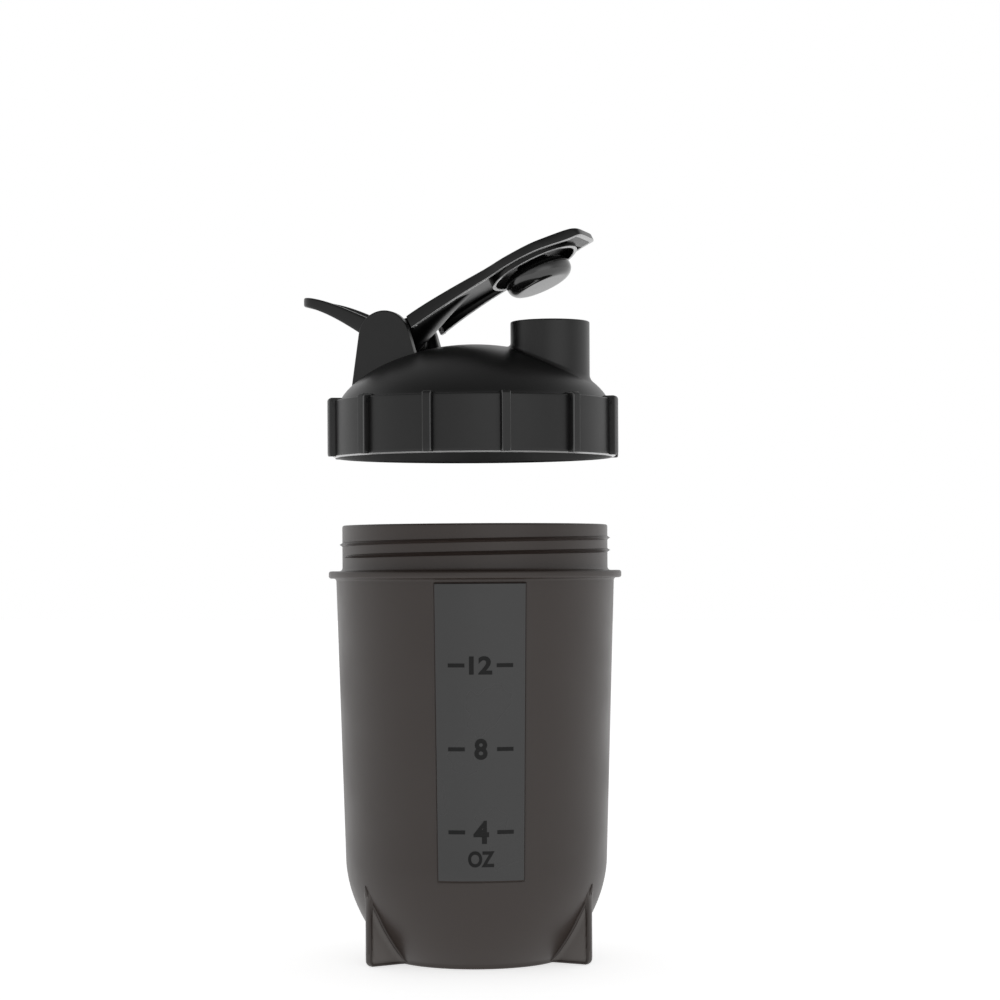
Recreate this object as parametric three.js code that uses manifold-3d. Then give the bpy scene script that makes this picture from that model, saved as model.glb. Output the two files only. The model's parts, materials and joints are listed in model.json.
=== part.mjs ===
// Protein shaker bottle: a tapered cup with three feet and a screw neck, a screw lid with a
// drinking spout, a flip cap with a spout stopper, a carry loop, a seal ring and a mixing ball.
// Millimetres, +Z up. The origin is the middle of the cup's base. The spout side is +X.
// The lid stands lifted off the neck, with its flip cap part open.

import * as THREE from 'three';
import { mergeVertices } from 'three/addons/utils/BufferGeometryUtils.js';
import Module from 'manifold-3d';

const wasm = await Module();
wasm.setup();

const degrees = Math.PI / 180;
const ROUND_STEPS = 48;
const SMALL_ROUND_STEPS = 32;

// Cup
const WALL = 1.6;
const FLOOR = 1.8;
const COLLAR_LOW = 115;
const COLLAR_TOP = 117.2;
const COLLAR_R = 44.35;
const COLLAR_EDGE = 0.7;
const RIM_Z = 131;
const RIM_EDGE = 0.6;
const NECK_R = 40.2;
const NECK_BORE_R = 38.8;
const BODY_TOP_R = 42.1;
const KNEE_Z = 31.5;
const KNEE_R = 39.6;
const KNEE_CURVE = 0.0141;
const BORE_BLEND_Z = 100;

// Screw thread, on the neck and inside the lid
const THREAD_PITCH = 3.75;
const THREAD_TURNS = 2;
const THREAD_LOW = 121.4;
const THREAD_START = 198;
const THREAD_HEIGHT = 0.8;
const THREAD_HALF = 0.6;
const LID_THREAD_HEIGHT = 0.4;
const THREAD_ROOT = 0.5;
const THREAD_STEPS = 64;

// Raised scale panel and feet
const PANEL_ANGLE = -70;
const PANEL_HALF_ANGLE = 18.3;
const PANEL_LOW = 27.5;
const PANEL_TOP = 113.6;
const PANEL_RISE = 0.4;
const FOOT_ANGLES = [-130, -10, 110];
const FOOT_R = 38;
const FOOT_ROOT_R = 24;
const FOOT_TOP = 22.8;
const FOOT_THICK = 2.4;
const FOOT_CORNER = 1.8;

// Lid, measured up from the lower edge of its skirt
const LID_LIFTED_Z = 151.4;
const SKIRT_R = 42.9;
const SKIRT_TOP = 17.2;
const SKIRT_EDGE = 0.5;
const LID_BORE_R = 41.7;
const CEILING_Z = 15.7;
const DOME_R = 40.6;
const DOME_RISE = 17.1;
const DOME_POWER = 0.72;
const HOLLOW_R = 38.3;
const HOLLOW_RISE = 16.8;
const PLUG_OUTER_R = 37.3;
const PLUG_INNER_R = 36;
const PLUG_LOW = 12.8;
const RIB_COUNT = 12;
const RIB_WIDTH = 3;
const RIB_R = 44.9;
const RIB_TOP = 17.9;
const RIB_HOOK_R = 40.8;
const SPOUT_X = 24.1;
const SPOUT_R = 11.9;
const SPOUT_BORE_R = 10.75;
const SPOUT_TOP = 40.5;

// Hinge: two lid ears, with the cap's stub axles through the loop's eyes into blind sockets
const HINGE_X = -24;
const HINGE_Z = 36.4;
const EAR_R = 8;
const EAR_INNER_Y = 11.6;
const EAR_OUTER_Y = 14.7;
const SOCKET_R = 3.2;
const SOCKET_END_Y = 13.6;
const AXLE_R = 2.8;
const AXLE_END_Y = 13.3;

// Seal ring
const SEAL_INNER_R = 37.7;
const SEAL_OUTER_R = 41.3;
const SEAL_LOW = 13.8;
const SEAL_TOP = 15.4;

// Flip cap, measured from the hinge axis along its own plate. The plate's edges lie flush with
// the ears' outer faces at the hinge, and its top line and flange line are [distance, height].
const CAP_OPEN = 22.3;
const CAP_SLOPE = 3.7;
const CAP_PLATE = 1.5;
const CAP_WALL = 1.6;
const CAP_START = 9.2;
const CAP_TIP = 66.8;
const CAP_START_HALF = 14.5;
const CAP_WAIST_X = 30;
const CAP_WAIST_HALF = 12.9;
const CAP_HEAD_HALF = 14.7;
const CAP_TIP_HALF = 8.5;
const CAP_TOP_LINE = [[9.8, 2.3], [18, 3.15], [28, 3.55], [40, 3.5], [60, 3.25], [64, 2.95], [66, 2.3]];
const CAP_FLANGE_LINE = [[66.2, -0.2], [62, 0], [56, 0.5], [44, 0.8], [30, 0.45], [18, -0.6], [10, -1.75]];
const CAP_POCKET_END = 60.5;
const CAP_HEAD_X = 48;
const CAP_RING_R = 14;
const CAP_RING_BORE_R = 12.9;
const CAP_RING_LOW = -0.9;
const KNUCKLE_R = 6;
const KNUCKLE_HALF = 7.2;
const RAMP_END = 27;

// Spout stopper, measured from the hinge axis with the cap closed
const STOPPER_X = SPOUT_X - HINGE_X;
const STOPPER_R = 10.3;
const STOPPER_LOW = -3.6;
const STOPPER_THICK = 6.4;
const STOPPER_ROUND = 2.8;
const STOPPER_NECK_R = 5;
const STOPPER_NECK_TOP = 4.5;

// Carry loop
const LOOP_INNER_Y = 7.8;
const LOOP_OUTER_Y = 10.9;
const LOOP_EYE_R = 5.8;
const LOOP_BORE_R = 3.2;
const LOOP_END_X = -28.5;
const LOOP_BAR = 4;
const LOOP_CORNER = 5;
const LOOP_LINE = [[-4, 1.9], [-8, 3.8], [-15.5, 8], [-22.8, 10.7], [-29.5, 12.1]];
const LOOP_THICKNESS = [6.2, 5.3, 3.9, 3.4, 2.7];

// Mixing ball
const BALL_R = 24;
const BALL_WIRE_R = 1.1;
const BALL_TURNS = 8;
const BALL_STEPS = 128;
const BALL_LOW = 2.1;
const BALL_POLE_ANGLE = 10;

// ---------------------------------------------------------------- solids and booleans

// A closed three.js geometry as a solid. Seam vertices are merged, triangles that have
// closed up to a line are dropped, and a geometry that faces inwards is turned round.
function solid(geometry) {
  geometry.deleteAttribute('normal');
  geometry.deleteAttribute('uv');
  const merged = mergeVertices(geometry, 1e-4);
  const points = merged.attributes.position.array;
  const index = merged.index.array;
  const corner = (i) => new THREE.Vector3().fromArray(points, 3 * i);
  const triangles = [];
  let volume = 0;
  for (let i = 0; i < index.length; i += 3) {
    const [a, b, c] = [index[i], index[i + 1], index[i + 2]];
    if (a === b || b === c || c === a) continue;
    triangles.push(a, b, c);
    volume += corner(a).dot(corner(b).cross(corner(c)));
  }
  if (volume < 0) triangles.reverse();
  return new wasm.Manifold(new wasm.Mesh({
    numProp: 3,
    vertProperties: new Float32Array(points),
    triVerts: new Uint32Array(triangles),
  }));
}

function geometryOf(body) {
  const { vertProperties, triVerts } = body.getMesh();
  const geometry = new THREE.BufferGeometry();
  geometry.setAttribute('position', new THREE.BufferAttribute(vertProperties, 3));
  geometry.setIndex(new THREE.BufferAttribute(triVerts, 1));
  geometry.computeVertexNormals();
  return geometry;
}

// A profile of [radius, height] points turned about Z.
function turned(profile, steps = ROUND_STEPS) {
  const points = profile.map(([r, z]) => new THREE.Vector2(r, z));
  return solid(new THREE.LatheGeometry(points, steps).rotateX(Math.PI / 2));
}

// The same for a ring, whose profile closes on itself.
function turnedRing(profile, steps = ROUND_STEPS) {
  return turned([...profile, profile[0]], steps);
}

// An outline of [x, y] points raised from z = low to z = high.
function raised(outline, low, high) {
  const shape = new THREE.Shape(outline.map(([x, y]) => new THREE.Vector2(x, y)));
  const geometry = new THREE.ExtrudeGeometry(shape, { depth: high - low, bevelEnabled: false });
  return solid(geometry.translate(0, 0, low));
}

// A side outline of [x, z] points, as thick as y = low to y = high.
function sideways(outline, low, high) {
  const shape = new THREE.Shape(outline.map(([x, z]) => new THREE.Vector2(x, z)));
  const geometry = new THREE.ExtrudeGeometry(shape, { depth: high - low, bevelEnabled: false });
  return solid(geometry.rotateX(Math.PI / 2).translate(0, high, 0));
}

// Points on an arc about [x, y], from one angle to another in degrees.
function arc(x, y, radius, from, to, steps) {
  return Array.from({ length: steps + 1 }, (_, i) => {
    const angle = (from + ((to - from) * i) / steps) * degrees;
    return [x + radius * Math.cos(angle), y + radius * Math.sin(angle)];
  });
}

// A round bar along Y.
function crossBar(x, z, radius, low, high, steps = 24) {
  return sideways(arc(x, z, radius, 0, 360, steps).slice(0, -1), low, high);
}

function union(bodies) {
  return bodies.reduce((whole, body) => whole.add(body));
}

// A triangular bar bent into a helix about Z. Its crest stands crest millimetres out of the
// wall (negative is inwards), and fades to nothing over the first and last of its length.
function threadRidge(wallR, low, crest) {
  const root = -Math.sign(crest) * THREAD_ROOT;
  const section = new THREE.Shape([
    new THREE.Vector2(root, -THREAD_HALF),
    new THREE.Vector2(crest, 0),
    new THREE.Vector2(root, THREAD_HALF),
  ]);
  const bar = new THREE.ExtrudeGeometry(section, {
    depth: 1, steps: THREAD_STEPS, bevelEnabled: false,
  });
  const place = bar.attributes.position;
  for (let i = 0; i < place.count; i += 1) {
    const along = place.getZ(i);
    const fade = Math.min(1, along * 16 + 0.05, (1 - along) * 16 + 0.05);
    const out = place.getX(i) === root ? root : crest * fade;
    const angle = (THREAD_START + 360 * THREAD_TURNS * along) * degrees;
    const rise = THREAD_PITCH * THREAD_TURNS * along + place.getY(i);
    place.setXYZ(i, (wallR + out) * Math.cos(angle), (wallR + out) * Math.sin(angle), low + rise);
  }
  return solid(bar);
}

// ---------------------------------------------------------------- cup

// The outer radius at height z: a straight taper down to the knee, then a rounded bottom.
function cupRadius(z) {
  if (z < KNEE_Z) return KNEE_R - KNEE_CURVE * (KNEE_Z - z) ** 2;
  return KNEE_R + ((BODY_TOP_R - KNEE_R) * (z - KNEE_Z)) / (COLLAR_LOW - KNEE_Z);
}

function cupBoreRadius(z) {
  const slope = 2 * KNEE_CURVE * Math.max(0, KNEE_Z - z);
  return cupRadius(z) - WALL * Math.hypot(1, slope);
}

function makeCup() {
  const bottom = [0, 3, 6.5, 10.5, 15, 20, 25.5, KNEE_Z].map((z) => [cupRadius(z), z]);
  const outside = turned([
    [0, 0], ...bottom, [BODY_TOP_R, COLLAR_LOW],
    [COLLAR_R - COLLAR_EDGE, COLLAR_LOW], [COLLAR_R, COLLAR_LOW + COLLAR_EDGE],
    [COLLAR_R, COLLAR_TOP - COLLAR_EDGE], [COLLAR_R - COLLAR_EDGE, COLLAR_TOP],
    [NECK_R + 1, COLLAR_TOP], [NECK_R, COLLAR_TOP + 1],
    [NECK_R, RIM_Z - RIM_EDGE], [NECK_R - RIM_EDGE, RIM_Z], [0, RIM_Z],
  ]);
  const floor = [FLOOR, 4.5, 8, 12, 16.5, 22, KNEE_Z].map((z) => [cupBoreRadius(z), z]);
  const hollow = turned([
    [0, FLOOR], ...floor, [cupBoreRadius(BORE_BLEND_Z), BORE_BLEND_Z],
    [NECK_BORE_R, COLLAR_TOP + 1], [NECK_BORE_R, RIM_Z - RIM_EDGE],
    [NECK_BORE_R + RIM_EDGE, RIM_Z], [NECK_BORE_R + RIM_EDGE, RIM_Z + 1], [0, RIM_Z + 1],
  ]);

  const sleeve = turnedRing([
    [cupRadius(PANEL_LOW) - WALL / 2, PANEL_LOW],
    [cupRadius(PANEL_LOW) + PANEL_RISE, PANEL_LOW],
    [KNEE_R + PANEL_RISE, KNEE_Z],
    [cupRadius(PANEL_TOP) + PANEL_RISE, PANEL_TOP],
    [cupRadius(PANEL_TOP) - WALL / 2, PANEL_TOP],
    [KNEE_R - WALL / 2, KNEE_Z],
  ]);
  const first = PANEL_ANGLE - PANEL_HALF_ANGLE;
  const last = PANEL_ANGLE + PANEL_HALF_ANGLE;
  const wedge = raised([[0, 0], ...arc(0, 0, 2 * COLLAR_R, first, last, 2)], 0, RIM_Z);

  const footOutline = [
    [FOOT_ROOT_R, 0],
    ...arc(FOOT_R - FOOT_CORNER, FOOT_CORNER, FOOT_CORNER, -90, 0, 4),
    [FOOT_R, FOOT_TOP], [FOOT_R - 2, FOOT_TOP], [FOOT_ROOT_R, FLOOR],
  ];
  const feet = FOOT_ANGLES.map((angle) =>
    sideways(footOutline, -FOOT_THICK / 2, FOOT_THICK / 2).rotate([0, 0, angle]));

  const thread = threadRidge(NECK_R, THREAD_LOW, THREAD_HEIGHT);
  return union([outside, sleeve.intersect(wedge), ...feet, thread]).subtract(hollow);
}

// ---------------------------------------------------------------- lid

function domeHeight(r, baseR, baseZ, rise) {
  return baseZ + rise * (1 - (r / baseR) ** 2) ** DOME_POWER;
}

function makeLid() {
  const domeSteps = [40.3, 39.7, 38.4, 36, 32.5, 28, 22.5, 16, 8.5, 0];
  const dome = domeSteps.map((r) => [r, domeHeight(r, DOME_R, SKIRT_TOP, DOME_RISE)]);
  const outside = turned([
    [0, 0], [SKIRT_R - SKIRT_EDGE, 0], [SKIRT_R, SKIRT_EDGE],
    [SKIRT_R, SKIRT_TOP - SKIRT_EDGE], [SKIRT_R - SKIRT_EDGE, SKIRT_TOP],
    [DOME_R, SKIRT_TOP], ...dome,
  ]);
  const hollowSteps = [0, 8, 15, 21, 26.5, 31, 34, PLUG_INNER_R];
  const hollow = turned([
    ...hollowSteps.map((r) => [r, domeHeight(r, HOLLOW_R, CEILING_Z, HOLLOW_RISE)]),
    [PLUG_INNER_R, PLUG_LOW], [PLUG_OUTER_R, PLUG_LOW], [PLUG_OUTER_R, CEILING_Z],
    [LID_BORE_R, CEILING_Z], [LID_BORE_R, 0.4], [LID_BORE_R + 0.5, -0.1],
    [LID_BORE_R + 0.5, -1], [0, -1],
  ]);
  const spout = turned([
    [0, SKIRT_TOP], [SPOUT_R, SKIRT_TOP], [SPOUT_R, SPOUT_TOP - 0.4],
    [SPOUT_R - 0.4, SPOUT_TOP], [0, SPOUT_TOP],
  ], SMALL_ROUND_STEPS).translate([SPOUT_X, 0, 0]);
  const spoutBore = turned([
    [0, CEILING_Z], [SPOUT_BORE_R, CEILING_Z], [SPOUT_BORE_R, SPOUT_TOP + 1],
    [0, SPOUT_TOP + 1],
  ], SMALL_ROUND_STEPS).translate([SPOUT_X, 0, 0]);

  const earOutline = [
    [-34.5, 20], [-13.4, 28.6], [-14.2, 31.4],
    ...arc(HINGE_X, HINGE_Z, EAR_R, 14, 172, 14), [-34.3, 21.2],
  ];
  const ears = [-1, 1].map((side) => {
    const edges = [side * EAR_INNER_Y, side * EAR_OUTER_Y].sort((a, b) => a - b);
    return sideways(earOutline, ...edges);
  });
  const sockets = crossBar(HINGE_X, HINGE_Z, SOCKET_R, -SOCKET_END_Y, SOCKET_END_Y);

  const ribOutline = [
    [SKIRT_R - 0.6, 0.3], [RIB_R - 0.5, 0.3], [RIB_R, 0.8], [RIB_R, RIB_TOP - 0.7],
    [RIB_R - 0.7, RIB_TOP], [RIB_HOOK_R, RIB_TOP], [RIB_HOOK_R, SKIRT_TOP - 0.6],
    [SKIRT_R - 0.6, SKIRT_TOP - 0.6],
  ];
  const ribs = Array.from({ length: RIB_COUNT }, (_, i) =>
    sideways(ribOutline, -RIB_WIDTH / 2, RIB_WIDTH / 2).rotate([0, 0, (360 * i) / RIB_COUNT]));

  const threadLow = THREAD_LOW - COLLAR_TOP;
  const thread = threadRidge(LID_BORE_R, threadLow - THREAD_PITCH / 2, -LID_THREAD_HEIGHT);
  return union([outside, spout, ...ears, ...ribs])
    .subtract(hollow).subtract(spoutBore).subtract(sockets).add(thread);
}

// ---------------------------------------------------------------- seal ring

function makeSealRing() {
  return turnedRing([
    [SEAL_INNER_R, SEAL_LOW + 0.3], [SEAL_INNER_R + 0.3, SEAL_LOW],
    [SEAL_OUTER_R - 0.3, SEAL_LOW], [SEAL_OUTER_R, SEAL_LOW + 0.3],
    [SEAL_OUTER_R, SEAL_TOP], [SEAL_INNER_R, SEAL_TOP],
  ]);
}

// ---------------------------------------------------------------- flip cap and stopper

// Half of the cap's plan, from the hinge end to the tip: waisted arm, round head, thumb tab.
function capHalfPlan(inset) {
  const head = arc(CAP_HEAD_X, 0, CAP_HEAD_HALF - inset, 112, 46, 8);
  return [
    [CAP_START + inset, CAP_START_HALF - inset], [18, CAP_START_HALF - 1 - inset],
    [CAP_WAIST_X, CAP_WAIST_HALF - inset], ...head,
    [CAP_TIP - 2.5 - inset, CAP_TIP_HALF + 0.4 - inset],
    [CAP_TIP - inset, CAP_TIP_HALF - 1.8 - inset],
  ];
}

function capPlan(inset) {
  const half = capHalfPlan(inset);
  return [...half, ...half.map(([x, y]) => [x, -y]).reverse()];
}

function makeFlipCap() {
  const sideOutline = [
    [CAP_START, 1.7], ...CAP_TOP_LINE, [CAP_TIP, 1.6], [CAP_TIP, 0.3],
    ...CAP_FLANGE_LINE, [CAP_START, -1.6],
  ].reverse();
  const shell = raised(capPlan(0), -3, 5)
    .intersect(sideways(sideOutline, -2 * CAP_HEAD_HALF, 2 * CAP_HEAD_HALF));
  const ceiling = CAP_TOP_LINE.filter(([x]) => x <= CAP_POCKET_END)
    .map(([x, z]) => [x, z - CAP_PLATE]).reverse();
  const pocketOutline = [
    [0, -4], [CAP_POCKET_END, -4], [CAP_POCKET_END, ceiling[0][1]], ...ceiling,
    [0, ceiling.at(-1)[1]],
  ];
  const underPlate = sideways(pocketOutline, -CAP_HEAD_HALF, CAP_HEAD_HALF);
  const pocket = raised(capPlan(CAP_WALL), -4, 5).intersect(underPlate);
  const ring = turnedRing([
    [CAP_RING_BORE_R, CAP_RING_LOW], [CAP_RING_R, CAP_RING_LOW],
    [CAP_RING_R, 2.4], [CAP_RING_BORE_R, 2.4],
  ], SMALL_ROUND_STEPS).translate([CAP_HEAD_X, 0, 0]);
  const insideRing = turned([
    [0, CAP_RING_LOW - 1], [CAP_RING_BORE_R, CAP_RING_LOW - 1], [CAP_RING_BORE_R, 4], [0, 4],
  ], SMALL_ROUND_STEPS).translate([CAP_HEAD_X, 0, 0]).intersect(underPlate);

  const knuckle = crossBar(0, 0, KNUCKLE_R, -KNUCKLE_HALF, KNUCKLE_HALF);
  const rampOutline = [
    [1.5, -KNUCKLE_R + 0.4], [5.6, -2.4], [15, -0.1], [RAMP_END, 2], [RAMP_END, 2.8],
    [12, 2.4], [3.5, KNUCKLE_R - 1.2], [0, 0],
  ];
  const rampPlan = [
    [-1, KNUCKLE_HALF], [9, KNUCKLE_HALF], [RAMP_END, 2.4],
    [RAMP_END, -2.4], [9, -KNUCKLE_HALF], [-1, -KNUCKLE_HALF],
  ];
  const ramp = sideways(rampOutline, -KNUCKLE_HALF, KNUCKLE_HALF)
    .intersect(raised(rampPlan, -KNUCKLE_R, KNUCKLE_R));
  const axle = crossBar(0, 0, AXLE_R, -AXLE_END_Y, AXLE_END_Y);
  return shell.subtract(pocket).add(ring).subtract(insideRing)
    .add(union([knuckle, ramp, axle]));
}

function makeStopper() {
  const top = STOPPER_LOW + STOPPER_THICK;
  const edge = STOPPER_R - STOPPER_ROUND;
  return turned([
    [0, STOPPER_LOW],
    ...arc(edge, STOPPER_LOW + STOPPER_ROUND, STOPPER_ROUND, -90, 0, 3),
    ...arc(edge, top - STOPPER_ROUND, STOPPER_ROUND, 0, 90, 3),
    [STOPPER_NECK_R, top], [STOPPER_NECK_R, STOPPER_NECK_TOP], [0, STOPPER_NECK_TOP],
  ], SMALL_ROUND_STEPS);
}

// ---------------------------------------------------------------- carry loop

function makeCarryLoop() {
  const line = new THREE.CatmullRomCurve3(LOOP_LINE.map(([x, z]) => new THREE.Vector3(x, z, 0)));
  const steps = 16;
  const upper = [];
  const lower = [];
  for (let i = 0; i <= steps; i += 1) {
    const at = i / steps;
    const middle = line.getPoint(at);
    const along = line.getTangent(at);
    const band = at * (LOOP_THICKNESS.length - 1);
    const k = Math.min(Math.floor(band), LOOP_THICKNESS.length - 2);
    const half = THREE.MathUtils.lerp(LOOP_THICKNESS[k], LOOP_THICKNESS[k + 1], band - k) / 2;
    upper.push([middle.x + along.y * half, middle.y - along.x * half]);
    lower.push([middle.x - along.y * half, middle.y + along.x * half]);
  }
  const band = sideways([...upper, ...lower.reverse()], -LOOP_OUTER_Y, LOOP_OUTER_Y);
  const end = LOOP_END_X + LOOP_CORNER;
  const side = LOOP_OUTER_Y - LOOP_CORNER;
  const plan = raised([
    [0, LOOP_OUTER_Y], ...arc(end, side, LOOP_CORNER, 90, 180, 6),
    ...arc(end, -side, LOOP_CORNER, 180, 270, 6), [0, -LOOP_OUTER_Y],
  ], -20, 20);
  const eye = crossBar(0, 0, LOOP_EYE_R, -LOOP_OUTER_Y, LOOP_OUTER_Y);
  const gapEnd = LOOP_END_X + LOOP_BAR;
  const gap = raised([
    [LOOP_EYE_R + 1, LOOP_INNER_Y], ...arc(gapEnd + 2, LOOP_INNER_Y - 2, 2, 90, 180, 3),
    ...arc(gapEnd + 2, -LOOP_INNER_Y + 2, 2, 180, 270, 3), [LOOP_EYE_R + 1, -LOOP_INNER_Y],
  ], -20, 20);
  const bore = crossBar(0, 0, LOOP_BORE_R, -2 * LOOP_OUTER_Y, 2 * LOOP_OUTER_Y);
  return band.intersect(plan).add(eye).subtract(gap).subtract(bore);
}

// ---------------------------------------------------------------- mixing ball

// One wire wound from pole to pole of a sphere, standing on its lower pole.
class BallWire extends THREE.Curve {
  getPoint(t, target = new THREE.Vector3()) {
    const pole = BALL_POLE_ANGLE * degrees;
    const polar = pole + t * (Math.PI - 2 * pole);
    const turn = 2 * Math.PI * BALL_TURNS * t;
    const r = (BALL_R - BALL_WIRE_R) * Math.sin(polar);
    const z = (BALL_R - BALL_WIRE_R) * Math.cos(polar);
    return target.set(r * Math.cos(turn), r * Math.sin(turn), z);
  }
}

function makeMixingBall() {
  const section = new THREE.Shape(
    arc(0, 0, BALL_WIRE_R, 0, 288, 4).map(([x, y]) => new THREE.Vector2(x, y)));
  return solid(new THREE.ExtrudeGeometry(section, {
    steps: BALL_STEPS, extrudePath: new BallWire(), bevelEnabled: false,
  }));
}

// ---------------------------------------------------------------- assembly

function piece(name, body, color, roughness, metalness = 0) {
  const material = new THREE.MeshStandardMaterial({ color, roughness, metalness });
  const mesh = new THREE.Mesh(geometryOf(body), material);
  mesh.name = name;
  return mesh;
}

const bottle = new THREE.Group();
bottle.add(piece('cup', makeCup(), 0x423e3d, 0.42));

const ball = piece('mixing_ball', makeMixingBall(), 0xc8c8c6, 0.22, 1);
ball.position.z = BALL_LOW + BALL_R;
bottle.add(ball);

const lidGroup = new THREE.Group();
lidGroup.position.z = LID_LIFTED_Z;
lidGroup.add(piece('lid', makeLid(), 0x232323, 0.38));
lidGroup.add(piece('seal_ring', makeSealRing(), 0x5a5a5a, 0.6));
bottle.add(lidGroup);

const hinge = new THREE.Group();
hinge.position.set(HINGE_X, 0, HINGE_Z);
lidGroup.add(hinge);
hinge.add(piece('carry_loop', makeCarryLoop(), 0x262626, 0.36));

const openCap = new THREE.Group();
openCap.rotation.y = -CAP_OPEN * degrees;
hinge.add(openCap);
const flipCap = piece('flip_cap', makeFlipCap(), 0x242424, 0.34);
flipCap.rotation.y = -CAP_SLOPE * degrees;
openCap.add(flipCap);
const stopper = piece('spout_stopper', makeStopper(), 0x1c1c1c, 0.25);
stopper.position.x = STOPPER_X;
openCap.add(stopper);

export default bottle;
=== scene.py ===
import json
import math

import bmesh
import bpy
import numpy as np
from mathutils import Matrix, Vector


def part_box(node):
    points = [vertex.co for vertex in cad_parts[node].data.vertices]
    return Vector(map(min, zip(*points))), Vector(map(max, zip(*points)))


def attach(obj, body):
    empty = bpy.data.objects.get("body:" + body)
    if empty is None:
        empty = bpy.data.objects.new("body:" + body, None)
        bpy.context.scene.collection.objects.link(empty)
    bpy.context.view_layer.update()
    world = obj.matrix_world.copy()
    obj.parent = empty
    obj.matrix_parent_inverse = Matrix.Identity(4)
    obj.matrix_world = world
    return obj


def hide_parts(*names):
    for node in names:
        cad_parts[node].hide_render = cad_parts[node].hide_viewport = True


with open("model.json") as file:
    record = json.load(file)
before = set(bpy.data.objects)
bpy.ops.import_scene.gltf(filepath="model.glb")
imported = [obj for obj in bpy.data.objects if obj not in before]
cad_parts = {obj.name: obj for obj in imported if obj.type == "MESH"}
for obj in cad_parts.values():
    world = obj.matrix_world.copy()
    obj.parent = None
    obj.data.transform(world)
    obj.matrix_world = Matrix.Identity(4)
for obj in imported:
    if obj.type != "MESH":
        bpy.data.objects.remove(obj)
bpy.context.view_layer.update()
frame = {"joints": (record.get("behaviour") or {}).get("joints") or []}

scene = bpy.context.scene

# ------------------------------------------------------------------ camera and studio
# A product shot on white: a level camera 0.79 m off, a little to the left of the spout's
# line, a seamless white floor, and a white room that dims overhead and on the camera's side,
# with one broad soft lamp behind the camera's right shoulder. Black plastic then shows a soft
# grey sheen on its upright faces, bright rims, and goes dark where it faces the ceiling.

CAMERA_AZIMUTH = math.radians(18)
CAMERA_DISTANCE = 0.793
CAMERA_HEIGHT = 0.1189
CAMERA_ROLL = math.radians(0.3)
LENS_MM = 94.0
SHIFT = (0.025, 0.065)
FLOOR_SIZE = 9.0


def linear(hex_colour):
    """An sRGB hex colour such as '#3f3b3a' as linear red, green, blue and alpha."""
    levels = np.array([int(hex_colour[i:i + 2], 16) for i in (1, 3, 5)]) / 255
    dark = levels / 12.92
    light = ((levels + 0.055) / 1.055) ** 2.4
    return (*np.where(levels <= 0.04045, dark, light), 1.0)


def add_node(tree, kind, inputs=None, **settings):
    """Adds a node. inputs gives each socket a value or another node's output to link to."""
    made = tree.nodes.new(kind)
    for name, value in settings.items():
        setattr(made, name, value)
    for name, value in (inputs or {}).items():
        if isinstance(value, bpy.types.NodeSocket):
            tree.links.new(value, made.inputs[name])
        else:
            made.inputs[name].default_value = value
    return made


camera = bpy.data.objects.new("camera", bpy.data.cameras.new("camera"))
camera.data.lens = LENS_MM
camera.data.shift_x, camera.data.shift_y = SHIFT
camera.data.clip_start = 0.01
camera.location = (
    CAMERA_DISTANCE * math.sin(CAMERA_AZIMUTH),
    -CAMERA_DISTANCE * math.cos(CAMERA_AZIMUTH),
    CAMERA_HEIGHT,
)
camera.rotation_mode = "XYZ"
turn = Matrix.Rotation(CAMERA_AZIMUTH, 3, "Z") @ Matrix.Rotation(math.pi / 2, 3, "X")
camera.rotation_euler = (turn @ Matrix.Rotation(-CAMERA_ROLL, 3, "Z")).to_euler()
scene.collection.objects.link(camera)
scene.camera = camera
scene.view_settings.view_transform = "Standard"

world = bpy.data.worlds.new("white room")
world.use_nodes = True
scene.world = world
room = world.node_tree
room.nodes.clear()
direction = add_node(room, "ShaderNodeTexCoord").outputs["Generated"]
height = add_node(room, "ShaderNodeSeparateXYZ", {0: direction}).outputs["Z"]
overhead = add_node(room, "ShaderNodeMapRange",
                    {"Value": height, "From Min": 0.25, "From Max": 0.85,
                     "To Min": 1.0, "To Max": 0.3}, interpolation_type="SMOOTHSTEP")


def toward(azimuth, low, high, start, end):
    """A level that changes smoothly from start to end as a direction's cosine from an azimuth
    rises from low to high."""
    way = (math.cos(math.radians(azimuth)), math.sin(math.radians(azimuth)), 0)
    cosine = add_node(room, "ShaderNodeVectorMath", {0: direction, 1: way}, operation="DOT_PRODUCT")
    return add_node(room, "ShaderNodeMapRange",
                    {"Value": cosine.outputs["Value"], "From Min": low, "From Max": high,
                     "To Min": start, "To Max": end}, interpolation_type="SMOOTHSTEP").outputs[0]


walls = toward(108, -0.5, 0.2, 0.72, 1.0)
lamp = toward(-50, 0.78, 1.0, 0.0, 0.55)
lit = add_node(room, "ShaderNodeMath", {0: walls, 1: lamp}, operation="ADD").outputs[0]
level = add_node(room, "ShaderNodeMath", {0: lit, 1: overhead.outputs[0]}, operation="MULTIPLY")
glow = add_node(room, "ShaderNodeBackground", {"Color": (1, 1, 1, 1), "Strength": level.outputs[0]})
add_node(room, "ShaderNodeOutputWorld", {"Surface": glow.outputs[0]})

floor = bpy.data.objects.new("floor", bpy.data.meshes.new("floor"))
half = FLOOR_SIZE / 2
floor.data.from_pydata([(-half, -half, 0), (half, -half, 0), (half, half, 0), (-half, half, 0)],
                       [], [(0, 1, 2, 3)])
scene.collection.objects.link(floor)
paper = bpy.data.materials.new("white paper sweep")
paper.use_nodes = True
paper.node_tree.nodes["Principled BSDF"].inputs["Base Color"].default_value = linear("#f6f6f6")
paper.node_tree.nodes["Principled BSDF"].inputs["Roughness"].default_value = 0.9
paper.node_tree.nodes["Principled BSDF"].inputs["Emission Color"].default_value = (1, 1, 1, 1)
paper.node_tree.nodes["Principled BSDF"].inputs["Emission Strength"].default_value = 0.64
floor.data.materials.append(paper)

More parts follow.
